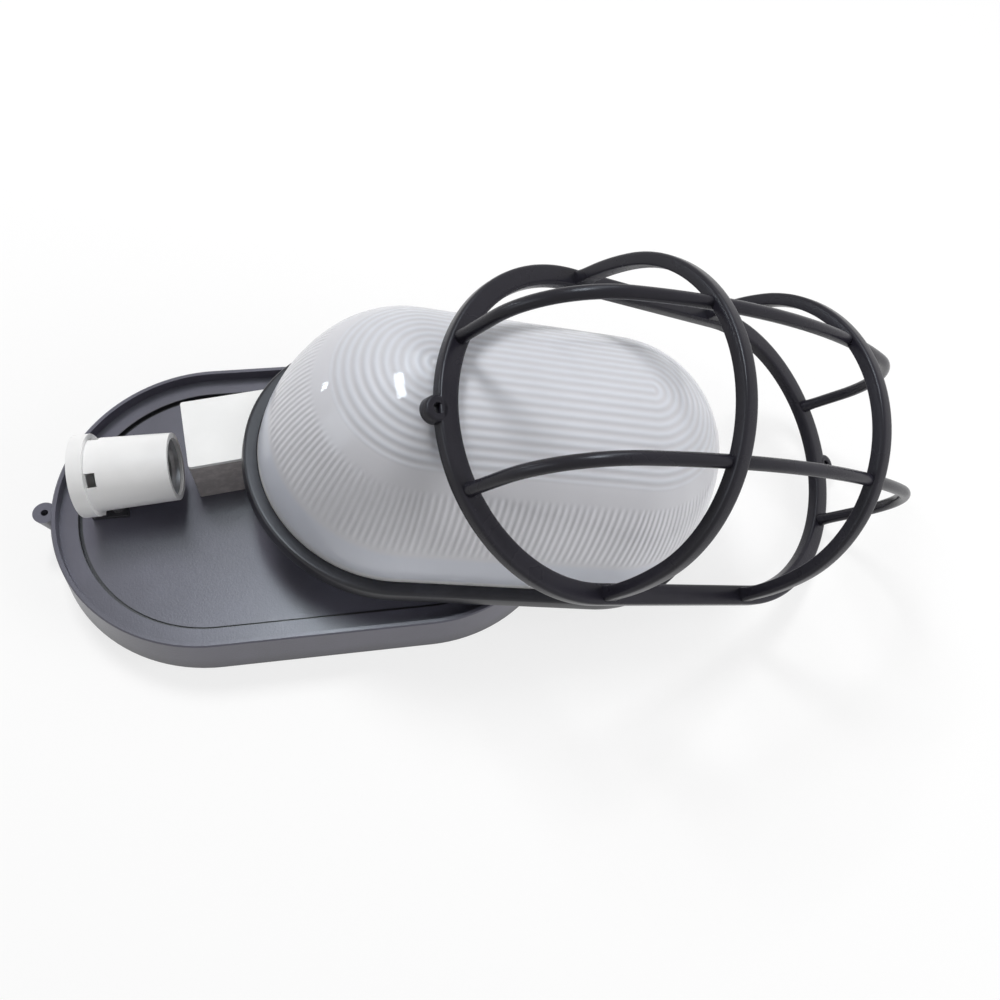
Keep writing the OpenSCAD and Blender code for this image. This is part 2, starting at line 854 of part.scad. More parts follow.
// Half section under a side arc and a crown arc, drawn in by an inset
module arch(a, rise, side_r, inset) {
    top_r = crown_r(a, rise, side_r);
    side_x = side_r - a;
    bend = atan2(rise - top_r, side_x);
    intersection() {
        translate([-side_x, 0]) circle(side_r - inset, $fn = 360);
        square([a, (side_r - inset) * sin(bend)]);
    }
    intersection() {
        translate([0, rise - top_r]) circle(top_r - inset, $fn = 240);
        square([a, rise]);
    }
}

// Glass dome: a shell with a foot flange, and ribs pressed into the inside of its crown
module glass_section() {
    inner_r = glass_crown_r - glass_t;
    translate([0, gasket_h])
        difference() {
            arch(glass_r, glass_rise, glass_side_r, 0);
            difference() {
                arch(glass_r, glass_rise, glass_side_r, glass_t);
                for (i = [0 : rib_count - 1])
                    translate([0, glass_crown_z])
                        rotate(90 - (i + 0.5) * rib_pitch / inner_r * 180 / PI)
                            translate([inner_r + rib_r - rib_h, 0])
                                circle(rib_r, $fn = 32);
            }
        }
    translate([glass_r - glass_t, flange_z])
        square([glass_t, gasket_h - flange_z + eps]);
    translate([glass_r - glass_t, flange_z])
        square([flange_r - glass_r + glass_t, flange_t]);
}

// Upright flutes inside the sides: thin standing slabs on the wall, between the crown ribs and the foot
module flute() {
    rotate([90, 0, 0])
        linear_extrude(flute_pitch / 2, center = true)
            translate([0, gasket_h])
                intersection() {
                    difference() {
                        arch(glass_r, glass_rise, glass_side_r, glass_t / 2);
                        arch(glass_r, glass_rise, glass_side_r, glass_t + flute_h);
                    }
                    translate([0, flute_low]) square([glass_r, flute_high - flute_low]);
                }
}

module flutes() {
    end_flutes = 2 * round(PI * (glass_r - glass_t) / flute_pitch / 2);
    side_flutes = 2 * round(straight / flute_pitch / 2);
    for (end = [0, 180])
        rotate([0, 0, end])
            translate([straight / 2, 0, 0])
                for (i = [0 : end_flutes - 1])
                    rotate([0, 0, 180 * (i + 0.5) / end_flutes - 90])
                        flute();
    for (i = [0 : side_flutes - 1])
        for (side = [90, 270])
            translate([straight * ((i + 0.5) / side_flutes - 0.5), 0, 0])
                rotate([0, 0, side])
                    flute();
}

module glass_dome() {
    color(glass_milk)
        dome_place() {
            oval_ends(2) glass_section();
            along_straight() {
                glass_section();
                mirror([1, 0]) glass_section();
            }
            flutes();
        }
}

// Rubber gasket, a channel that holds the foot flange
module gasket_section() {
    top_z = flange_z + flange_t + gasket_fit;
    difference() {
        union() {
            translate([seat_in, 0])
                square([gasket_w, gasket_h - gasket_round]);
            translate([seat_in, 0])
                square([gasket_w - gasket_round, gasket_h]);
            translate([seat_out - gasket_round, gasket_h - gasket_round])
                circle(gasket_round, $fn = 32);
        }
        translate([seat_in - over, gasket_sole])
            square([flange_r + gasket_fit - seat_in + over, top_z - gasket_sole]);
        translate([seat_in - over, gasket_sole])
            square([glass_r + gasket_fit - seat_in + over, gasket_h]);
    }
}

module dome_gasket() {
    color(rubber_black)
        dome_place()
            round_the_oval() gasket_section();
}

// Guard: one casting of a ring, two hoops, two long wires and two screw lugs
module chamfered_bar(w, t) {
    c = min(bar_chamfer, t / 3, w / 3);
    polygon([
        [-w / 2, -t / 2], [w / 2, -t / 2], [w / 2, t / 2 - c], [w / 2 - c, t / 2],
        [-w / 2 + c, t / 2], [-w / 2, t / 2 - c]
    ]);
}

// The part of a swept ring that lies inside a wedge from its centre
module arc_bar(r, wedge) {
    intersection() {
        rotate([0, 0, -90])
            rotate_extrude($fn = 240)
                translate([r, 0])
                    children();
        linear_extrude(2 * ring_w, center = true)
            polygon(wedge);
    }
}

module hoop() {
    far = 2 * hoop_side_r;
    joint = far * [steep, slight];
    rotate([90, 0, 90]) {
        for (side = [0, 1])
            mirror([side, 0, 0])
                translate([ring_r - hoop_side_r, 0, 0])
                    arc_bar(hoop_side_r, [[0, 0], [far, 0], joint])
                        rotate(-90) chamfered_bar(hoop_w, hoop_t);
        translate([0, hoop_crown_z, 0])
            arc_bar(hoop_crown_r, [[0, 0], joint, [0, far], [-joint.x, joint.y]])
                rotate(-90) chamfered_bar(hoop_w, hoop_t);
    }
}

module wire() {
    far = 2 * wire_crown_r;
    joint = far * [slight, steep];
    rotate([90, 0, 0]) {
        for (side = [0, 1])
            mirror([side, 0, 0]) {
                translate([wire_foot, 0, 0])
                    rotate([-90, 0, 0])
                        cylinder(d = wire_d, h = wire_leg, $fn = 24);
                translate([wire_inner, wire_leg, 0])
                    arc_bar(wire_bend_r, [[0, 0], [far, 0], joint])
                        circle(d = wire_d, $fn = 24);
            }
        translate([0, wire_crown_z, 0])
            arc_bar(wire_crown_r, [[0, 0], joint, [0, far], [-joint.x, joint.y]])
                circle(d = wire_d, $fn = 24);
    }
}

module guard_cage() {
    color(guard_black)
        guard_place()
            difference() {
                union() {
                    round_the_oval()
                        translate([ring_r, 0]) chamfered_bar(ring_w, ring_t);
                    for (x = [-hoop_x, hoop_x])
                        translate([x, 0, 0]) hoop();
                    for (y = [-wire_y, wire_y])
                        translate([0, y, 0]) wire();
                    for (x = [-ear_x, ear_x])
                        translate([x, 0, 0])
                            cylinder(d = lug_d, h = ring_t, center = true);
                }
                for (x = [-ear_x, ear_x])
                    translate([x, 0, 0])
                        cylinder(d = lug_hole_d, h = 2 * ring_t, center = true);
            }
}

base_tray();
cable_grommet();
holder_cap();
holder_barrel();
holder_insert();
screw_shell();
centre_contact();
side_contact();
holder_terminal_screws();
foot_screws();
gear_box_cover();
gear_box_base();
terminal_block();
terminal_clamps();
terminal_screws();
block_screw();
earth_screw();
earth_washer();
glass_dome();
dome_gasket();
guard_cage();
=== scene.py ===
"""Looks of an oval bulkhead light that lies open on a table.

The cast tray lies on its back with its lampholder and control box. The ribbed glass dome, in its
rubber gasket, leans on the tray, and the guard leans on the dome. Metres, +Z up.
"""

import math

import bmesh
import bpy
import numpy as np
from bpy.props import FloatProperty, FloatVectorProperty, IntProperty, PointerProperty
from mathutils import Euler, Matrix, Vector


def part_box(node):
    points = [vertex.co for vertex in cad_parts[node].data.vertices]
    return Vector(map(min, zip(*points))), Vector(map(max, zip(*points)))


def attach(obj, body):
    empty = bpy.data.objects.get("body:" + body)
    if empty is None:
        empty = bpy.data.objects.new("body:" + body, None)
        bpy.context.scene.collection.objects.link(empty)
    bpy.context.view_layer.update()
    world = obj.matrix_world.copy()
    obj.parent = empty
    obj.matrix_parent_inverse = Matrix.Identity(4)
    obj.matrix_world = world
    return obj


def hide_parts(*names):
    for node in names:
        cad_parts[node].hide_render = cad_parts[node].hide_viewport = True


bl_info = {
    "name": "Oval Bulkhead Light",
    "version": (1, 0, 0),
    "blender": (4, 5, 0),
    "location": "View3D > Sidebar > Bulkhead Light",
    "description": "Dresses an oval bulkhead light that lies open on a table",
    "category": "Object",
}

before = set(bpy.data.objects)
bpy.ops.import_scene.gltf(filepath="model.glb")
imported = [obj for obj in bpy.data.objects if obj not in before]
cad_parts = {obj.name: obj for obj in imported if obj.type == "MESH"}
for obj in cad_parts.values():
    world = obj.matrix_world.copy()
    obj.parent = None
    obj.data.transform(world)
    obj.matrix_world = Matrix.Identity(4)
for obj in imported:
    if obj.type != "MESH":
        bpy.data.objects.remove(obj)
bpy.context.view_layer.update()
MM = 0.001
TAU = 2 * math.pi
SAME_PLACE = 0.002 * MM
RIB_MAP = "ribs"


# Settings

def length(name, description, millimetres):
    """A size in millimetres, kept as a length in metres."""
    return FloatProperty(
        name=name, description=description, default=millimetres * MM,
        unit="LENGTH", subtype="DISTANCE", precision=4,
    )


def angle(name, description, degrees):
    """An angle in degrees, kept in radians."""
    return FloatProperty(
        name=name, description=description, default=math.radians(degrees), subtype="ANGLE",
    )


def place(name, description, millimetres):
    """A place in millimetres, kept in metres."""
    return FloatVectorProperty(
        name=name, description=description, default=[v * MM for v in millimetres],
        unit="LENGTH", subtype="TRANSLATION", precision=4,
    )


def colour(name, description, rgb):
    """A colour of linear red, green and blue."""
    return FloatVectorProperty(
        name=name, description=description, default=rgb, subtype="COLOR", min=0, max=1,
    )


def share(name, description, value):
    """A share from 0 to 1."""
    return FloatProperty(
        name=name, description=description, default=value, subtype="FACTOR", min=0, max=1,
    )


def count(name, description, value):
    """A number of like things."""
    return IntProperty(name=name, description=description, default=value, min=1)


class OvalSettings(bpy.types.PropertyGroup):
    """The oval that the tray, dome and guard share."""

    straight: length("Straight", "Length of the oval's straight sides", 100)
    columns: count("Columns", "Faces round one end of the oval", 96)


class DomeSettings(bpy.types.PropertyGroup):
    """Glass dome and gasket."""

    at: place("Place", "Middle of the gasket's underside", (84.6685, -0.90839, 26.8333))
    lean: angle("Lean", "Lean of the dome down to its far end", 12.8667)
    turn: angle("Turn", "Turn of the dome about the upright", -4)
    radius: length("Radius", "Half width of the glass at its foot", 64)
    rise: length("Rise", "Height of the crown above the gasket", 84)
    side_radius: length("Side radius", "Radius of the dome's sides, seen from the end", 118)
    thickness: length("Thickness", "Thickness of the glass", 4)
    flange_radius: length("Flange", "Half width of the glass foot flange", 67.6)
    flange_low: length("Flange underside", "Height of the flange above the gasket's sole", 2.3)
    flange_high: length("Flange top", "Height of the top of the flange", 5.9)
    rib_pitch: length("Rib pitch", "Pitch of the rings pressed into the crown", 4.2)
    ribs: count("Ribs", "Rings from the middle of the crown to its shoulder", 11)
    rib_height: length("Rib height", "Height of a pressed rib", 0.6)
    flutes: count("Flutes", "Upright flutes round the sides", 180)
    flute_low: length("Flute feet", "Height of the flutes' feet above the gasket", 27)
    flute_high: length("Flute heads", "Height of the flutes' heads above the gasket", 58)
    milk: colour("Milk", "Colour of the milky glass", (0.79, 0.79, 0.83))
    # Painted bluish sheen: the crown leans to this colour as to a reflection of the sky.
    crown_painted_sheen: colour("Crown tint", "Colour that the ribbed crown leans to", (0.74, 0.79, 0.87))
    # The smooth foot band's clearer glass is drawn darker, and a bluish sheen is painted on it.
    foot_tone_and_painted_sheen: colour("Foot tint", "Colour that the smooth foot band leans to", (0.66, 0.71, 0.82))
    gasket_outside: length("Gasket outside", "Half width of the gasket", 70.5)
    gasket_inside: length("Gasket inside", "Half width of the gasket's opening", 62)
    gasket_height: length("Gasket height", "Height of the gasket", 8)
    gasket_sole: length("Gasket sole", "Thickness of the gasket under the glass", 2.2)
    gasket_round: length("Gasket round", "Round of the gasket's top edge", 1.6)
    fit: length("Fit", "Gap between the gasket and the glass", 0.1)
    rubber: colour("Rubber", "Colour of the rubber", (0.012, 0.012, 0.016))


class GuardSettings(bpy.types.PropertyGroup):
    """Cast guard."""

    at: place("Place", "Middle of the guard's ring", (165.644, -12.5, 68.8315))
    roll: angle("Roll", "Roll of the guard on its long axis", 17)
    lean: angle("Lean", "Lean of the guard down to its far end", 28.5107)
    turn: angle("Turn", "Turn of the guard about the upright", 5.5)
    ring_radius: length("Ring", "Half width of the ring to the middle of its bar", 73.5)
    ring_width: length("Ring width", "Width of the ring bar", 9.6)
    ring_thickness: length("Ring thickness", "Thickness of the ring bar", 6)
    hoop_out: length("Hoop place", "Distance of a hoop from the middle", 45.5)
    hoop_width: length("Hoop width", "Width of a hoop bar", 7.2)
    hoop_thickness: length("Hoop thickness", "Thickness of a hoop bar", 6)
    hoop_side_radius: length("Hoop side", "Radius of a hoop's sides", 133.5)
    hoop_crown_radius: length("Hoop crown", "Radius of a hoop's crown", 71)
    hoop_crown_height: length("Hoop crown height", "Height of the crown's centre", 17.5)
    wire_out: length("Wire place", "Distance of a long wire from the middle", 32.3)
    wire_width: length("Wire", "Diameter of a long wire", 5.8)
    wire_foot: length("Wire foot", "Distance of a wire's foot from the middle", 116)
    wire_leg: length("Wire leg", "Height of a wire's straight leg", 26.25)
    wire_corner: length("Wire corner", "Radius of a wire's corners", 46)
    wire_crown_radius: length("Wire crown", "Radius of a wire's long crown", 296)
    wire_crown_drop: length("Wire crown drop", "Depth of the crown's centre", 213.75)
    lug_out: length("Lug place", "Distance of a screw lug from the middle", 129)
    lug_width: length("Lug", "Diameter of a screw lug", 11.5)
    lug_hole: length("Lug hole", "Diameter of a lug's screw hole", 4.4)
    enamel: colour("Enamel", "Colour of the guard's enamel", (0.014, 0.013, 0.019))


class TraySettings(bpy.types.PropertyGroup):
    """Cast tray and what stands in it."""

    edge: length("Edge", "Softened edges of the casting", 0.7)
    enamel: colour("Enamel", "Colour of the tray's enamel", (0.082, 0.080, 0.107))
    moulding_edge: length("Moulding edge", "Softened edges of the white mouldings", 0.5)
    groove: length("Groove", "Distance of the floor's groove from the oval's spine", 64.4)
    floor: length("Floor", "Height of the tray's floor", 16)
    holder: colour("Lampholder", "Colour of the lampholder", (0.88, 0.88, 0.88))
    # Below foot_top the lampholder's cap is drawn in this dark colour.
    holder_foot: colour("Holder foot", "Colour of the lampholder's foot", (0.03, 0.03, 0.035))
    foot_top: length("Foot top", "Height up to which the lampholder's foot is dark", 20.3)
    box: colour("Box", "Colour of the control box", (0.98, 0.98, 0.97))
    box_top: length("Box top", "Height of the top of the control box", 47)
    box_lid: length("Box lid", "Depth of the control box's white lid", 2.05)
    box_body: colour("Box body", "Colour of the control box below its lid", (0.44, 0.41, 0.405))
    block: colour("Terminal block", "Colour of the terminal block", (0.80, 0.80, 0.78))
    block_edge: length("Block edge", "Softened edges of the terminal block", 0.3)
    brass: colour("Brass", "Colour of the brass pieces", (0.60, 0.46, 0.20))
    steel: colour("Steel", "Colour of the plated screws", (0.45, 0.45, 0.46))


class StageSettings(bpy.types.PropertyGroup):
    """Camera, lamps and table top."""

    eye: place("Eye", "Place of the camera", (19.27, -221.99, 451.99))
    yaw: angle("Yaw", "Turn of the view from +Y towards +X", 19.70)
    pitch: angle("Pitch", "Fall of the view below the horizon", 61.82)
    roll: angle("Roll", "Roll of the view", 12.78)
    lens: FloatProperty(
        name="Lens", description="Focal length for a 36 mm sensor", default=33.953, unit="CAMERA",
    )
    shift: FloatVectorProperty(
        name="Shift", description="Offset of the picture's middle", size=2,
        default=(-0.00847, -0.01486),
    )
    surround: share("Surround", "Strength of the even surroundings", 0.28)
    table: colour("Table", "Colour of the table top", (0.96, 0.96, 0.96))
    glow: share("Glow", "Share of the table top that shows plain white", 0.74)
    lit: length("Lit part", "Distance from the middle where the glow starts to grow", 450)
    plain: length("Plain part", "Distance from the middle where only the glow is left", 1100)


class BulkheadLight(bpy.types.PropertyGroup):
    """All settings of the light."""

    oval: PointerProperty(type=OvalSettings)
    dome: PointerProperty(type=DomeSettings)
    guard: PointerProperty(type=GuardSettings)
    tray: PointerProperty(type=TraySettings)
    stage: PointerProperty(type=StageSettings)


# Surfaces

def rounded(points, radius, steps):
    """Closed profile with its corners eased.

    Each corner P becomes the curve (1-t)^2 A + 2t(1-t) P + t^2 B, where A and B lie on the two
    sides at the given distance from P, or at 0.45 of a shorter side.
    """
    p = np.asarray(points, float)
    t = np.linspace(0, 1, steps + 1)[None, :, None]
    reach = np.broadcast_to(np.asarray(radius, float), len(p))

    def on_side(other):
        side = other - p
        size = np.linalg.norm(side, axis=1)
        return p + side * (np.minimum(reach, 0.45 * size) / size)[:, None]

    a, b = on_side(np.roll(p, 1, 0)), on_side(np.roll(p, -1, 0))
    curve = (1 - t) ** 2 * a[:, None] + 2 * t * (1 - t) * p[:, None] + t ** 2 * b[:, None]
    return curve.reshape(-1, 2)


def arc(centre, radius, start, end, steps):
    """Points centre + radius (cos a, sin a) for angles a from start to end."""
    a = np.linspace(start, end, steps + 1)
    return np.stack([centre[0] + radius * np.cos(a), centre[1] + radius * np.sin(a)], 1)


def oval_columns(straight, end_steps, side_steps):
    """Spine place and heading of each column round the oval.

    The heading turns half a circle round each end of the spine, and stays square to the spine
    along the straight sides.
    """
    turn = np.linspace(-math.pi / 2, math.pi / 2, end_steps + 1)
    along = np.linspace(0.5, -0.5, side_steps + 1)[1:-1]
    half = np.concatenate([np.full(len(turn), 0.5), along])
    heading = np.concatenate([turn, np.full(len(along), math.pi / 2)])
    spine = np.concatenate([half, -half]) * straight
    return spine, np.concatenate([heading, heading + math.pi])


def round_the_oval(profile, columns, push=0):
    """Profile of distances r and heights z carried round the oval.

    Column j at spine place s and heading a holds the points (s + r cos a, r sin a, z). push is
    added to r, and can differ in each row and column.
    """
    spine, heading = columns
    r = profile[:, :1] + push
    z = np.broadcast_to(profile[:, 1:], (len(profile), len(spine)))
    return np.stack([spine + r * np.cos(heading), r * np.sin(heading), z], 2)


def along_bar(path, profile, swell):
    """Profile (u, v) carried along a plane path (s, z): u across the plane, v along its normal.

    The normal is the path's direction turned a quarter to the right. swell scales the profile at
    each point of the path.
    """
    way = np.gradient(path, axis=0)
    way /= np.linalg.norm(way, axis=1)[:, None]
    normal = np.stack([way[:, 1], -way[:, 0]], 1)
    uv = profile[None] * swell[:, None, None]
    plane = path[:, None] + uv[..., 1:] * normal[:, None]
    return uv[..., 0], plane[..., 0], plane[..., 1]


def grid_faces(rows, columns, round_rows=False):
    """Corner numbers of the quads of a grid whose columns, and rows if asked, run round."""
    i = np.arange(rows if round_rows else rows - 1)[:, None]
    j = np.arange(columns)[None]
    i2, j2 = (i + 1) % rows, (j + 1) % columns
    quads = np.stack(np.broadcast_arrays(
        i * columns + j, i * columns + j2, i2 * columns + j2, i2 * columns + j,
    ), -1)
    return quads.reshape(-1, 4)


def end_caps(rows, columns):
    """Corner numbers of the two end faces of a bar whose profile runs round the columns."""
    ring = np.arange(columns)
    return np.stack([ring[::-1], ring + (rows - 1) * columns])


def closed_bar(points):
    """A bar's points with its two groups of faces: those round it and its ends."""
    rows, columns = points.shape[:2]
    return points, [grid_faces(rows, columns), end_caps(rows, columns)]


def closed_ring(points):
    """A ring's points with its faces, closed both ways round."""
    return points, [grid_faces(*points.shape[:2], round_rows=True)]


def joined(parts):
    """Several (points, groups of faces) as one."""
    points, groups, start = [], [], 0
    for xyz, faces in parts:
        points.append(xyz.reshape(-1, 3))
        groups += [corners + start for corners in faces]
        start += len(points[-1])
    return np.concatenate(points), groups


def new_piece(name, points, groups, move, material, slot, uv=None, sharp=50):
    """A mesh object with its place in its mesh, smooth but for edges sharper than the degrees."""
    mesh = bpy.data.meshes.new(name)
    faces = [corners for group in groups for corners in group.tolist()]
    mesh.from_pydata(points.reshape(-1, 3).tolist(), [], faces)
    if uv is not None:
        mesh.uv_layers.new(name=RIB_MAP).uv.foreach_set("vector", uv.astype(np.float32).ravel())
    mesh.transform(move)
    close_up(mesh)
    mesh.shade_smooth()
    mesh.set_sharp_from_angle(angle=math.radians(sharp))
    return add_piece(name, mesh, material)


def close_up(mesh):
    """Merges points that fall together, such as a crown's, and turns the faces outwards."""
    bm = bmesh.new()
    bm.from_mesh(mesh)
    bmesh.ops.remove_doubles(bm, verts=bm.verts, dist=SAME_PLACE)
    bmesh.ops.recalc_face_normals(bm, faces=bm.faces)
    bm.to_mesh(mesh)
    bm.free()


def add_piece(name, mesh, material):
    """Puts a mesh into the scene with one material, on the fixed body and in a slot."""
    piece = bpy.data.objects.new(name, mesh)
    bpy.context.scene.collection.objects.link(piece)
    mesh.materials.clear()
    mesh.materials.append(material)
    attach(piece, "root")
    return piece


def all_points(mesh):
    """Places of a mesh's points, one row each."""
    points = np.empty(len(mesh.vertices) * 3, np.float32)
    mesh.vertices.foreach_get("co", points)
    return points.reshape(-1, 3)


def stand_for(piece, node):
    """The piece, made in place, is shown instead of a CAD node and fills the same box."""
    slack = 1.2 * MM
    low, high = np.array(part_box(node))
    points = all_points(piece.data)
    off = max(np.abs(points.min(0) - low).max(), np.abs(points.max(0) - high).max())
    if off > slack:
        raise RuntimeError(f"{piece.name} is {off / MM:.1f} mm off the box of {node}")
    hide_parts(node)


def softened(node, edge, material):
    """A merged copy of a CAD node with its edges eased by a bevel of the given width."""
    sharp, flat = math.radians(30), math.radians(0.5)
    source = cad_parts[node].data
    source.calc_loop_triangles()
    corners = np.empty(len(source.loop_triangles) * 3, np.int32)
    source.loop_triangles.foreach_get("vertices", corners)
    mesh = bpy.data.meshes.new(node + "_soft")
    mesh.from_pydata(all_points(source).tolist(), [], corners.reshape(-1, 3).tolist())
    bm = bmesh.new()
    bm.from_mesh(mesh)
    bmesh.ops.remove_doubles(bm, verts=bm.verts, dist=SAME_PLACE)
    bmesh.ops.dissolve_limit(bm, angle_limit=flat, verts=bm.verts, edges=bm.edges)
    bm.to_mesh(mesh)
    bm.free()
    mesh.shade_smooth()
    mesh.set_sharp_from_angle(angle=sharp)
    piece = add_piece(node + "_soft", mesh, material)
    bevel = piece.modifiers.new("edges", "BEVEL")
    bevel.width = edge
    bevel.segments = 2
    bevel.limit_method = "ANGLE"
    bevel.angle_limit = sharp
    bevel.harden_normals = True
    stand_for(piece, node)


# Finishes

class Value:
    """A node socket in an expression. Arithmetic on it adds Math nodes."""

    def __init__(self, finish, socket):
        self.finish, self.socket = finish, socket

    def maths(self, operation, *terms):
        """What a Math node makes of its terms, which are values or numbers."""
        return self.finish.add("ShaderNodeMath", {"operation": operation}, dict(enumerate(terms)))

    def __add__(self, other):
        return self.maths("ADD", self, other)

    def __radd__(self, other):
        return self.maths("ADD", other, self)

    def __sub__(self, other):
        return self.maths("SUBTRACT", self, other)

    def __rsub__(self, other):
        return self.maths("SUBTRACT", other, self)

    def __mul__(self, other):
        return self.maths("MULTIPLY", self, other)

    def __rmul__(self, other):
        return self.maths("MULTIPLY", other, self)

    def cosine(self):
        return self.maths("COSINE", self)

    def absolute(self):
        return self.maths("ABSOLUTE", self)

    def above(self, least):
        return self.maths("MAXIMUM", self, least)

    def power(self, exponent):
        return self.maths("POWER", self, exponent)


class Finish:
    """The nodes of a new material or world, its owner: add() makes each one that it needs."""

    def __init__(self, owner):
        owner.use_nodes = True
        self.owner, self.tree = owner, owner.node_tree

    def add(self, kind, settings=None, inputs=None, out=0):
        """A node of a kind, with its settings set first, then its sockets' values or links."""
        node = self.tree.nodes.new(kind)
        for key, value in (settings or {}).items():
            setattr(node, key, value)
        for key, value in (inputs or {}).items():
            self.feed(node.inputs[key], value)
        return Value(self, node.outputs[out])

    def feed(self, socket, value):
        """Links a value to a socket, or sets the socket to a number or colour."""
        if isinstance(value, Value):
            self.tree.links.new(value.socket, socket)
        else:
            socket.default_value = value

    def shade(self, **inputs):
        """Feeds the Principled shader's sockets, named with _ for each space, and gives the owner."""
        shader = self.tree.nodes["Principled BSDF"]
        for key, value in inputs.items():
            self.feed(shader.inputs[key.replace("_", " ")], value)
        return self.owner

    def seen(self):
        """1 for a ray from the eye, a mirror or a glass, and 0 for a ray that only lights."""
        eye, mirror, glass = (self.add("ShaderNodeLightPath", out=f"Is {kind} Ray")
                              for kind in ("Camera", "Glossy", "Transmission"))
        return eye.above(mirror).above(glass)

    def object_place(self):
        """Object coordinates."""
        return self.add("ShaderNodeTexCoord", out="Object")

    def split(self, vector):
        """The three numbers of a vector."""
        first = self.add("ShaderNodeSeparateXYZ", None, {0: vector})
        return [Value(self, out) for out in first.socket.node.outputs]

    def axes(self):
        """Object coordinates x, y and z."""
        return self.split(self.object_place())

    def noise(self, scale, detail):
        """Noise on Object coordinates, with scale in features per metre."""
        return self.add("ShaderNodeTexNoise", None, {
            "Vector": self.object_place(), "Scale": scale, "Detail": detail, "Roughness": 0.55,
        }, "Fac")

    def between(self, factor, low, high):
        """Smooth step of a value from low to high, as 0 to 1."""
        return self.add("ShaderNodeMapRange", {"interpolation_type": "SMOOTHSTEP"}, {
            "Value": factor, "From Min": low, "From Max": high,
        })

    def mix(self, factor, a, b):
        """Colour mix from a to b."""
        return self.add("ShaderNodeMix", {"data_type": "RGBA"}, {
            "Factor": factor, 6: a if isinstance(a, Value) else (*a, 1),
            7: b if isinstance(b, Value) else (*b, 1),
        }, 2)

    def bump(self, height, distance, strength):
        """Normal of a relief whose heights from 0 to 1 span a distance."""
        return self.add("ShaderNodeBump", None, {
            "Strength": strength, "Distance": distance, "Height": height,
        })


def shaded(rgb, factor):
    """A colour times a factor, with no part over 1."""
    return tuple(min(1.0, v * factor) for v in rgb)


def tray_painted_shade(f, tray, oval):
    """Painted shade: 1 in the groove round the tray's floor, less along the wall's foot, and 0
    elsewhere.

    The distance from the oval's spine is r = sqrt(max(|x| - straight/2, 0)^2 + y^2).
    """
    x, y, z = f.axes()
    beyond = (x.absolute() - oval.straight / 2).above(0)
    off = ((beyond * beyond + y * y).power(0.5) - tray.groove).absolute()
    # The groove is painted dark, as shade in its recess.
    upper_side = f.between(z, tray.floor - 2 * MM, tray.floor - 1.4 * MM)
    in_groove = upper_side * (1 - f.between(off, 0.6 * MM, 1.1 * MM))
    # The wall is painted darker towards its foot and its base line, as shade near the table.
    low = 1 - f.between(z, 0, 10 * MM)
    lowest = 1 - f.between(z, 0.3 * MM, 1.5 * MM)
    return in_groove + (0.45 * low + 0.35 * lowest)


def enamel(name, rgb, roughness, shine, painted_shade=None):
    """Satin enamel on a casting: faint cloudiness, fine orange peel and a few dull patches.

    The last argument, if given, gives a factor of painted shade that darkens the finish, such as the
    tray's groove and wall foot.
    """
    f = Finish(bpy.data.materials.new(name))
    cloud = f.noise(28, 4)
    peel = f.noise(900, 2)
    grain = f.noise(5200, 1)
    tint = f.mix(f.between(cloud, 0.35, 0.7), shaded(rgb, 0.86), shaded(rgb, 1.12))
    speckled = f.mix(f.between(grain, 0.5, 0.8) * 0.35, tint, shaded(rgb, 1.5))
    return f.shade(
        # Painted shade darkens the finish where the factor is high.
        Base_Color=f.mix(painted_shade(f), speckled, shaded(rgb, 0.1)) if painted_shade else speckled,
        Roughness=roughness - 0.06 + 0.12 * cloud,
        Specular_IOR_Level=shine,
        Normal=f.bump(peel * 0.8 + grain * 0.25, 0.12 * MM, 0.5),
    )


def moulding(name, rgb, roughness, foot=None):
    """White moulding with slight flow marks and a soft gloss.

    foot is a height, and a colour for what lies below it.
    """
    f = Finish(bpy.data.materials.new(name))
    flow = f.noise(45, 3)
    skin = f.noise(1500, 2)
    white = f.mix(f.between(flow, 0.35, 0.75), shaded(rgb, 0.97), shaded(rgb, 1.02))
    if foot:
        height, dark = foot
        fade = 0.1 * MM
        white = f.mix(f.between(f.axes()[2], height - fade, height + fade), dark, white)
    return f.shade(
        Base_Color=white,
        Roughness=roughness - 0.04 + 0.08 * flow,
        Normal=f.bump(skin, 0.05 * MM, 0.35),
    )


def box_shell(name, tray):
    """White lid over a dull, mottled grey body."""
    f = Finish(bpy.data.materials.new(name))
    flow = f.noise(45, 3)
    mottle = f.noise(240, 3)
    lid_edge, fade = tray.box_top - tray.box_lid, 0.15 * MM
    lid = f.between(f.axes()[2], lid_edge - fade, lid_edge + fade)
    white = f.mix(f.between(flow, 0.35, 0.75), shaded(tray.box, 0.97), shaded(tray.box, 1.02))
    body = f.mix(f.between(mottle, 0.4, 0.7), tray.box_body, shaded(tray.box_body, 1.3))
    return f.shade(
        Base_Color=f.mix(lid, body, white),
        Roughness=0.46 + 0.08 * flow,
        Normal=f.bump(f.noise(1500, 2), 0.05 * MM, 0.35),
    )


def rubber(name, rgb):
    """Black rubber with a dusty bloom."""
    f = Finish(bpy.data.materials.new(name))
    bloom = f.noise(60, 4)
    skin = f.noise(2500, 2)
    return f.shade(
        Base_Color=f.mix(f.between(bloom, 0.45, 0.8), rgb, shaded(rgb, 1.7)),
        Roughness=0.24 + 0.16 * bloom,
        Specular_IOR_Level=0.32,
        Normal=f.bump(skin, 0.08 * MM, 0.4),
    )


def metal(name, rgb, roughness):
    """Dull plated metal with fine scratches and tarnish."""
    f = Finish(bpy.data.materials.new(name))
    tarnish = f.noise(180, 4)
    scratch = f.noise(3800, 2)
    return f.shade(
        Base_Color=f.mix(f.between(tarnish, 0.4, 0.75), rgb, shaded(rgb, 0.72)),
        Metallic=1.0,
        Roughness=roughness - 0.06 + 0.16 * tarnish,
        Normal=f.bump(scratch, 0.04 * MM, 0.4),
    )


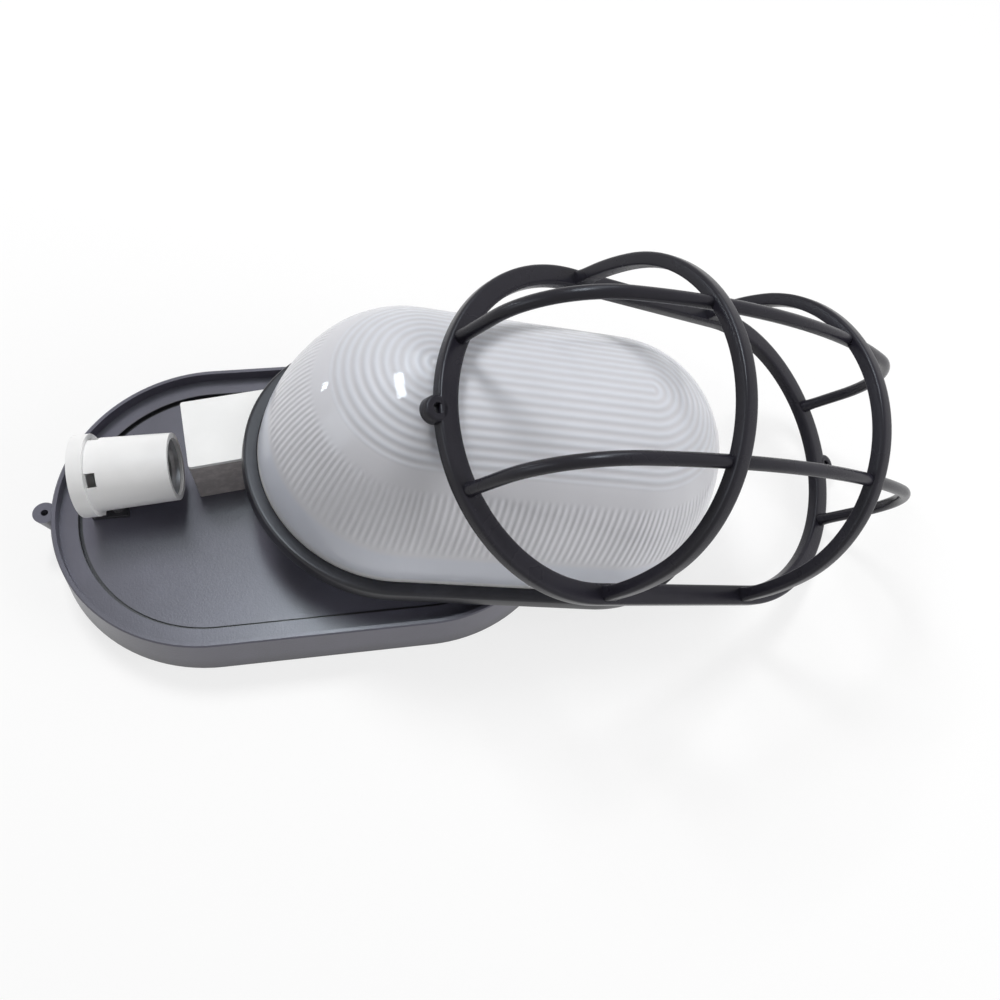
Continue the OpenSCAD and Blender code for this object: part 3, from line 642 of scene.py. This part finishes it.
def milky_glass(name, dome):
    """Milky pressed glass: the rings in the crown and flutes down the sides are painted on its skin
    as light and shade.

    Its map counts flutes round the dome and ribs down from the crown. The fades are in ribs.
    """
    f = Finish(bpy.data.materials.new(name))
    around, down, _ = f.split(f.add("ShaderNodeUVMap", {"uv_map": RIB_MAP}))
    head, foot, gasket = (
        ribs_down_to(dome, height) for height in (dome.flute_high, dome.flute_low, 0)
    )
    in_crown = 1 - f.between(down, dome.ribs - 0.3, dome.ribs + 0.3)
    below_heads = f.between(down, head - 0.6, head + 0.6)
    in_side = below_heads * (1 - f.between(down, foot - 0.8, foot + 0.8))
    rings = (down * TAU).cosine()
    flutes = (around * TAU).cosine()
    relief = rings * in_crown * 0.5 + flutes * in_side * 0.5 + 0.5
    cloud = f.noise(16, 3)
    cloudy = f.mix(f.between(cloud, 0.3, 0.75), dome.milk, shaded(dome.milk, 1.05))
    # The ribbed crown leans to a painted bluish reflection of the sky.
    pale = f.mix(in_crown * 0.4, cloudy, dome.crown_painted_sheen)
    # Painted light and shade of the ribs: darker milk in the troughs of the relief, paler on its
    # crests.
    ribbed = f.mix(relief, shaded(dome.milk, 0.86), pale)
    # The smooth foot band gets its darker, clearer tone and a painted bluish sheen.
    clear_band = f.between(down, foot + 0.4, foot + 1.6) * 0.5
    banded = f.mix(clear_band, ribbed, dome.foot_tone_and_painted_sheen)
    # Painted highlight: the glass is painted white just above the gasket, as a bright line along its
    # foot.
    painted_foot_highlight = f.between(down, gasket - 1.1, gasket - 0.2)
    return f.shade(
        Base_Color=f.mix(painted_foot_highlight, banded, (1, 1, 1)),
        Roughness=0.46 + 0.12 * cloud,
        Transmission_Weight=0.22,
        IOR=1.47,
        Coat_Weight=0.4,
        Coat_Roughness=0.04,
        Normal=f.bump(relief, 0.5 * MM, 0.6),
    )


def table_top(stage):
    """Pale table: a white glow for the eye and for reflections, and a dull face that takes shadow.

    The glow grows to plain white away from the light, so that the table has no far edge.
    """
    f = Finish(bpy.data.materials.new("table_top"))
    x, y, _ = f.axes()
    far = f.between((x * x + y * y).power(0.5), stage.lit, stage.plain)
    glowing = f.seen() * (stage.glow + (1 - stage.glow) * far)
    dull = f.add("ShaderNodeBsdfDiffuse", None, {"Color": (*stage.table, 1)})
    glow = f.add("ShaderNodeEmission", None, {"Color": (1, 1, 1, 1), "Strength": 1.0})
    both = f.add("ShaderNodeMixShader", None, {0: glowing, 1: dull, 2: glow})
    f.feed(f.tree.nodes["Material Output"].inputs["Surface"], both)
    f.tree.nodes.remove(f.tree.nodes["Principled BSDF"])
    return f.owner


def paint_nodes(material, *nodes):
    """Gives CAD nodes that are shown as they are a finish of their own."""
    for node in nodes:
        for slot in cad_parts[node].material_slots:
            slot.material = material


# Pieces

def settings():
    """The light's settings, which the scene holds."""
    return bpy.context.scene.bulkhead_light


def dome_curve(dome):
    """Crown radius, height of its centre above the gasket, and the angle where the two arcs meet.

    The side arc stands on the gasket, and the crown arc touches it: with a the half width, b the
    rise and R the side radius, the crown radius is (R^2 - (R-a)^2 - b^2) / (2 (R-b)).
    """
    a, b, side = dome.radius, dome.rise, dome.side_radius
    crown = (side ** 2 - (side - a) ** 2 - b ** 2) / (2 * (side - b))
    return crown, b - crown, math.atan2(b - crown, side - a)


def ribs_down_to(dome, height):
    """Arc length from the crown down to a height above the gasket, counted in ribs."""
    crown, centre, bend = dome_curve(dome)
    if height > centre + crown * math.sin(bend):
        arc_length = crown * (math.pi / 2 - math.asin((height - centre) / crown))
    else:
        on_side = dome.side_radius * (bend - math.asin(height / dome.side_radius))
        arc_length = crown * (math.pi / 2 - bend) + on_side
    return arc_length / dome.rib_pitch


def dome_move(dome):
    """Leans the dome, turns it and carries it to its place."""
    return Matrix.Translation(dome.at) @ Euler((0, dome.lean, dome.turn)).to_matrix().to_4x4()


def guard_move(guard):
    """Rolls the guard, leans it, turns it and carries it to its place."""
    turned = Euler((guard.roll, guard.lean, guard.turn)).to_matrix().to_4x4()
    return Matrix.Translation(guard.at) @ turned


class DressGlass(bpy.types.Operator):
    """Glass dome: crown arc and side arc round the oval, ribbed and fluted inside"""

    bl_idname = "bulkhead.glass"
    bl_label = "Glass Dome"

    def execute(self, context):
        s = settings()
        points, faces, uv = self.surface(s.dome, s.oval)
        piece = new_piece(
            "glass", points, faces, dome_move(s.dome), milky_glass("milky_glass", s.dome),
            "milky_glass", uv, sharp=60,
        )
        stand_for(piece, "glass_dome")
        return {"FINISHED"}

    @staticmethod
    def walls(dome):
        """Outer wall down from the crown and inner wall up to it, as distances and heights."""
        crown_steps, ring_steps, side_steps = 22, 64, 8
        crown, centre, bend = dome_curve(dome)
        side, base = dome.side_radius, dome.gasket_height
        crown_at, side_at = (0, base + centre), (dome.radius - side, base)
        outer = np.concatenate([
            arc(crown_at, crown, math.pi / 2, bend, crown_steps)[:-1],
            arc(side_at, side, bend, 0, side_steps),
        ])
        t = dome.thickness
        inner = np.concatenate([
            arc(side_at, side - t, 0, bend, side_steps)[:-1],
            arc(crown_at, crown - t, bend, math.pi / 2, ring_steps),
        ])
        return outer, inner, crown

    def surface(self, dome, oval):
        """Both walls and the flange carried round the oval.

        On the inner wall a rib of height h lowers the crown by h (1 - cos 2 pi k) / 2, where k
        counts ribs down from the crown, and a flute draws the side in by h (1 - cos 2 pi n) / 2,
        where n counts flutes round the dome.
        """
        outer, inner, crown = self.walls(dome)
        low, high = dome.flange_low, dome.flange_high
        flange = np.array([
            (dome.radius, high), (dome.flange_radius, high), (dome.flange_radius, low),
            (dome.radius - dome.thickness, low),
        ])
        profile = np.concatenate([outer, flange, inner])
        profile[[0, -1], 0] = 0
        columns, around = self.columns(dome, oval)
        inside = np.arange(len(profile)) >= len(outer) + len(flange)
        ring_of = self.from_crown(profile, inside, dome, crown)
        wave = 0.5 - 0.5 * np.cos(TAU * ring_of)
        ribbed = inside & (ring_of < dome.ribs) & (profile[:, 0] > 0)
        height = profile[:, 1] - dome.gasket_height
        fluted = inside & (height > dome.flute_low) & (height < dome.flute_high)
        flute = 0.5 - 0.5 * np.cos(TAU * around)
        push = -dome.rib_height * (fluted[:, None] * flute[None, :])
        profile[:, 1] -= dome.rib_height * ribbed * wave
        points = round_the_oval(profile, columns, push)
        return points, [grid_faces(*points.shape[:2])], self.rib_map(ring_of, around, dome)

    @staticmethod
    def columns(dome, oval):
        """Columns spaced evenly round the foot, four to a flute, and each one's flute number."""
        per_flute = 4
        girth = 2 * oval.straight + TAU * dome.radius
        side_steps = round(per_flute * dome.flutes * oval.straight / girth)
        end_steps = per_flute * dome.flutes // 2 - side_steps
        columns = oval_columns(oval.straight, end_steps, side_steps)
        total = len(columns[0])
        return columns, np.arange(total) / total * dome.flutes

    @staticmethod
    def from_crown(profile, inside, dome, crown):
        """Arc length down from the crown, counted in ribs."""
        step = np.linalg.norm(np.diff(profile, axis=0), axis=1)
        down = np.concatenate([[0], np.cumsum(step)])
        up = down[-1] - down
        return np.where(inside, up * crown / (crown - dome.thickness), down) / dome.rib_pitch

    @staticmethod
    def rib_map(ring_of, around, dome):
        """UV of each face corner: flutes round the dome across, ribs down from the crown."""
        rows, total = len(ring_of) - 1, len(around)
        u0 = np.broadcast_to(around, (rows, total))
        u1 = u0 + dome.flutes / total
        v0 = np.broadcast_to(ring_of[:-1, None], (rows, total))
        v1 = np.broadcast_to(ring_of[1:, None], (rows, total))
        u = np.stack([u0, u1, u1, u0], -1)
        v = np.stack([v0, v0, v1, v1], -1)
        return np.stack([u, v], -1).reshape(-1, 2)


class DressGasket(bpy.types.Operator):
    """Rubber gasket: a grooved strip carried round the oval"""

    bl_idname = "bulkhead.gasket"
    bl_label = "Gasket"

    def execute(self, context):
        s = settings()
        dome, oval = s.dome, s.oval
        inside, outside = dome.gasket_inside, dome.gasket_outside
        top = dome.flange_high + dome.fit
        rim = dome.radius + dome.fit
        groove = dome.flange_radius + dome.fit
        corners = [
            (inside, 0), (outside, 0), (outside, dome.gasket_height), (rim, dome.gasket_height),
            (rim, top), (groove, top), (groove, dome.gasket_sole), (inside, dome.gasket_sole),
        ]
        ease = np.array([0.4, 0.7, dome.gasket_round / MM, 0.5, 0.1, 0.1, 0.1, 0.3]) * MM
        profile = rounded(corners, ease, steps=4)
        columns = oval_columns(oval.straight, oval.columns, side_steps=8)
        points = round_the_oval(profile, columns)
        piece = new_piece(
            "gasket", *closed_ring(points), dome_move(dome),
            rubber("gasket_rubber", dome.rubber), "rubber",
        )
        stand_for(piece, "dome_gasket")
        return {"FINISHED"}


class DressGuard(bpy.types.Operator):
    """Cast guard: an oval ring, two hoops, two long wires and two screw lugs"""

    bl_idname = "bulkhead.guard"
    bl_label = "Guard"

    def execute(self, context):
        s = settings()
        guard = s.guard
        parts = [self.ring(guard, s.oval)]
        for side in (-1, 1):
            parts.append(self.hoop(guard, side * guard.hoop_out))
            parts.append(self.wire(guard, side * guard.wire_out))
            parts.append(self.lug(guard, side * guard.lug_out))
        piece = new_piece(
            "guard", *joined(parts), guard_move(guard),
            enamel("guard_enamel", guard.enamel, roughness=0.27, shine=0.22), "guard_paint",
        )
        stand_for(piece, "guard_cage")
        return {"FINISHED"}

    @staticmethod
    def bar(width, thickness):
        """Section of a cast bar, rounder on top than below."""
        w, t = width / 2, thickness / 2
        corners = [(-w, -t), (w, -t), (w, t), (-w, t)]
        return rounded(corners, np.array([0.8, 0.8, 1.9, 1.9]) * MM, steps=4)

    def ring(self, guard, oval):
        """The ring's section carried round the oval."""
        section = self.bar(guard.ring_width, guard.ring_thickness) + (guard.ring_radius, 0)
        columns = oval_columns(oval.straight, oval.columns, side_steps=12)
        return closed_ring(round_the_oval(section, columns))

    @staticmethod
    def swell(path):
        """Swelling of a bar into the ring at its two feet: 1 + gain exp(-(height / reach)^2)."""
        gain, reach = 0.28, 4.5 * MM
        return 1 + gain * np.exp(-(path[:, 1] / reach) ** 2)

    def hoop(self, guard, x):
        """A bar across the dome: a side arc, a crown arc that touches it, and the side mirrored."""
        foot, side, crown = guard.ring_radius, guard.hoop_side_radius, guard.hoop_crown_radius
        high = guard.hoop_crown_height
        joint = math.atan2(high, side - foot)
        right = arc((foot - side, 0), side, 0, joint, steps=16)[:-1]
        over = arc((0, high), crown, joint, math.pi - joint, steps=72)
        left = right[::-1] * (-1, 1)
        path = np.concatenate([right, over, left])
        section = self.bar(guard.hoop_width, guard.hoop_thickness)
        across, y, z = along_bar(path, section, self.swell(path))
        return closed_bar(np.stack([x + across, y, z], 2))

    def wire(self, guard, y):
        """A round bar along the dome: a leg, a corner arc, a long crown arc, and both mirrored."""
        leg_steps, sides = 9, 20
        foot, leg, corner = guard.wire_foot, guard.wire_leg, guard.wire_corner
        crown, drop = guard.wire_crown_radius, guard.wire_crown_drop
        joint = math.atan2(leg + drop, foot - corner)
        rise = np.linspace(0, leg, leg_steps, endpoint=False)
        straight = np.stack([np.full(leg_steps, foot), rise], 1)
        bend = arc((foot - corner, leg), corner, 0, joint, steps=24)[:-1]
        over = arc((0, -drop), crown, joint, math.pi - joint, steps=48)
        right = np.concatenate([straight, bend])
        path = np.concatenate([right, over, right[::-1] * (-1, 1)])
        turn = np.linspace(0, TAU, sides, endpoint=False)
        section = guard.wire_width / 2 * np.stack([np.cos(turn), np.sin(turn)], 1)
        across, x, z = along_bar(path, section, self.swell(path))
        return closed_bar(np.stack([x, y + across, z], 2))

    @staticmethod
    def lug(guard, x):
        """Disc with a screw hole: its section turned about its own upright."""
        inner, outer, t = guard.lug_hole / 2, guard.lug_width / 2, guard.ring_thickness / 2
        corners = [(inner, -t), (outer, -t), (outer, t), (inner, t)]
        section = rounded(corners, np.array([0.4, 0.7, 1.4, 0.6]) * MM, steps=3)
        columns = oval_columns(0, end_steps=24, side_steps=1)
        return closed_ring(round_the_oval(section, columns) + (x, 0, 0))


class DressTray(bpy.types.Operator):
    """Base tray with eased edges, and its cable grommet"""

    bl_idname = "bulkhead.tray"
    bl_label = "Base Tray"

    def execute(self, context):
        tray = settings().tray
        # The tray's enamel carries painted shade in its groove and along its wall's foot.
        grey = enamel(
            "tray_enamel", tray.enamel, roughness=0.34, shine=0.55,
            painted_shade=lambda f: tray_painted_shade(f, tray, settings().oval),
        )
        softened("base_tray", tray.edge, grey)
        black = rubber("grommet_rubber", settings().dome.rubber)
        softened("cable_grommet", tray.moulding_edge, black)
        return {"FINISHED"}


class DressLampholder(bpy.types.Operator):
    """Lampholder cap and barrel with eased edges, and its inner pieces"""

    bl_idname = "bulkhead.lampholder"
    bl_label = "Lampholder"

    def execute(self, context):
        tray = settings().tray
        white = moulding("holder_moulding", tray.holder, roughness=0.30)
        # The cap is drawn dark below foot_top.
        footed = moulding(
            "cap_moulding", tray.holder, roughness=0.30, foot=(tray.foot_top, tray.holder_foot),
        )
        softened("holder_cap", tray.moulding_edge, footed)
        softened("holder_barrel", tray.moulding_edge, white)
        brass = metal("dull_brass", tray.brass, roughness=0.34)
        steel = metal("plated_steel", tray.steel, roughness=0.30)
        paint_nodes(white, "holder_insert")
        paint_nodes(brass, "centre_contact", "side_contact", "holder_terminal_screws")
        paint_nodes(steel, "screw_shell", "foot_screws")
        return {"FINISHED"}


class DressBox(bpy.types.Operator):
    """Control box with eased edges, and the supply terminals"""

    bl_idname = "bulkhead.box"
    bl_label = "Control Box and Terminals"

    def execute(self, context):
        tray = settings().tray
        white = box_shell("box_shell", tray)
        block = moulding("block_moulding", tray.block, roughness=0.42)
        softened("gear_box_cover", tray.moulding_edge, white)
        paint_nodes(white, "gear_box_base")
        softened("terminal_block", tray.block_edge, block)
        brass = metal("terminal_brass", tray.brass, roughness=0.34)
        steel = metal("terminal_steel", tray.steel, roughness=0.30)
        paint_nodes(brass, "terminal_clamps", "earth_screw")
        paint_nodes(steel, "terminal_screws", "block_screw", "earth_washer")
        return {"FINISHED"}


class SetStage(bpy.types.Operator):
    """Camera, soft lamps and a pale table top"""

    bl_idname = "bulkhead.stage"
    bl_label = "Stage"

    # Each lamp's name, place, aim, width and depth, all in metres, and its watts.
    # LIGHTS are never mirrored, and HIGHLIGHTS are only mirrored.
    LIGHTS = (
        ("soft", (-0.25, 0.80, 1.30), (0.08, 0.00, 0.06), (0.42, 0.42), 15),
        ("side", (1.35, -0.45, 0.55), (0.15, 0.00, 0.06), (1.00, 1.00), 15),
    )
    HIGHLIGHTS = (
        ("strip", (-0.02, 0.23, 1.30), (-0.02, 0.00, 0.06), (0.17, 0.50), 9),
        ("window", (-0.98, 0.58, 0.47), (0.05, 0.00, 0.08), (0.12, 0.12), 1.5),
        ("card", (-0.90, -0.15, 0.55), (0.00, 0.00, 0.05), (0.50, 0.50), 2),
        ("sheet", (0.37, 0.68, 1.22), (0.00, 0.00, 0.06), (0.55, 0.55), 4),
    )
    DAYLIGHT = (0.82, 0.91, 1.0)

    def execute(self, context):
        stage = settings().stage
        self.camera(stage)
        self.table(stage)
        self.world(stage)
        for row in self.LIGHTS:
            self.lamp(*row).visible_glossy = False
        for row in self.HIGHLIGHTS:
            lamp = self.lamp(*row)
            lamp.visible_diffuse = False
            lamp.data.color = self.DAYLIGHT
        context.scene.view_settings.view_transform = "Standard"
        return {"FINISHED"}

    @staticmethod
    def camera(stage):
        """The eye looks along (sin yaw cos pitch, cos yaw cos pitch, -sin pitch), then rolls."""
        yaw, pitch, roll = stage.yaw, stage.pitch, stage.roll
        ahead = Vector((
            math.sin(yaw) * math.cos(pitch), math.cos(yaw) * math.cos(pitch), -math.sin(pitch),
        ))
        level = Vector((math.cos(yaw), -math.sin(yaw), 0))
        up = level.cross(ahead)
        right = level * math.cos(roll) + up * math.sin(roll)
        data = bpy.data.cameras.new("eye")
        data.lens = stage.lens
        data.sensor_width = 36
        data.shift_x, data.shift_y = stage.shift
        data.clip_start, data.clip_end = 0.01, 50
        eye = bpy.data.objects.new("eye", data)
        axes = Matrix((right, right.cross(ahead), -ahead)).transposed()
        eye.matrix_world = Matrix.Translation(stage.eye) @ axes.to_4x4()
        bpy.context.scene.collection.objects.link(eye)
        bpy.context.scene.camera = eye

    @staticmethod
    def table(stage):
        """A wide square, a little below what stands on it."""
        half, below = 8.0, 0.2 * MM
        side = np.array([-half, half])
        points = np.stack([*np.meshgrid(side, side), np.full((2, 2), -below)], -1).reshape(-1, 3)
        mesh = bpy.data.meshes.new("table")
        mesh.from_pydata(points.tolist(), [], [(0, 1, 3, 2)])
        mesh.materials.append(table_top(stage))
        top = bpy.data.objects.new("table", mesh)
        bpy.context.scene.collection.objects.link(top)

    @staticmethod
    def world(stage):
        """Even white surroundings, seen and mirrored as white, that give a soft fill."""
        f = Finish(bpy.data.worlds.new("surroundings"))
        background = f.tree.nodes["Background"].inputs
        f.feed(background["Strength"], stage.surround + (1 - stage.surround) * f.seen())
        f.feed(background["Color"], (1, 1, 1, 1))
        bpy.context.scene.world = f.owner

    @staticmethod
    def lamp(name, at, aim, size, watts):
        """An oblong lamp that faces its aim."""
        data = bpy.data.lights.new(name, "AREA")
        data.shape = "RECTANGLE"
        data.size, data.size_y = size
        data.energy = watts
        lamp = bpy.data.objects.new(name, data)
        facing = (Vector(aim) - Vector(at)).to_track_quat("-Z", "Y").to_matrix()
        lamp.matrix_world = Matrix.Translation(at) @ facing.to_4x4()
        bpy.context.scene.collection.objects.link(lamp)
        return lamp


PIECES = (DressTray, DressLampholder, DressBox, DressGlass, DressGasket, DressGuard, SetStage)


class LightPanel(bpy.types.Panel):
    """Lists the light's pieces and its settings"""

    bl_idname = "VIEW3D_PT_bulkhead_light"
    bl_label = "Bulkhead Light"
    bl_space_type = "VIEW_3D"
    bl_region_type = "UI"
    bl_category = "Bulkhead Light"

    def draw(self, context):
        for piece in PIECES:
            self.layout.operator(piece.bl_idname)
        for name in BulkheadLight.__annotations__:
            group = getattr(context.scene.bulkhead_light, name)
            column = self.layout.column()
            column.label(text=name.capitalize())
            for key in group.__annotations__:
                column.prop(group, key)


CLASSES = (
    OvalSettings, DomeSettings, GuardSettings, TraySettings, StageSettings, BulkheadLight,
    *PIECES, LightPanel,
)


def register():
    for cls in CLASSES:
        bpy.utils.register_class(cls)
    bpy.types.Scene.bulkhead_light = PointerProperty(type=BulkheadLight)


def unregister():
    del bpy.types.Scene.bulkhead_light
    for cls in reversed(CLASSES):
        bpy.utils.unregister_class(cls)


def main():
    register()
    bpy.ops.bulkhead.tray()
    bpy.ops.bulkhead.lampholder()
    bpy.ops.bulkhead.box()
    bpy.ops.bulkhead.glass()
    bpy.ops.bulkhead.gasket()
    bpy.ops.bulkhead.guard()
    bpy.ops.bulkhead.stage()


if __name__ == "__main__":
    main()
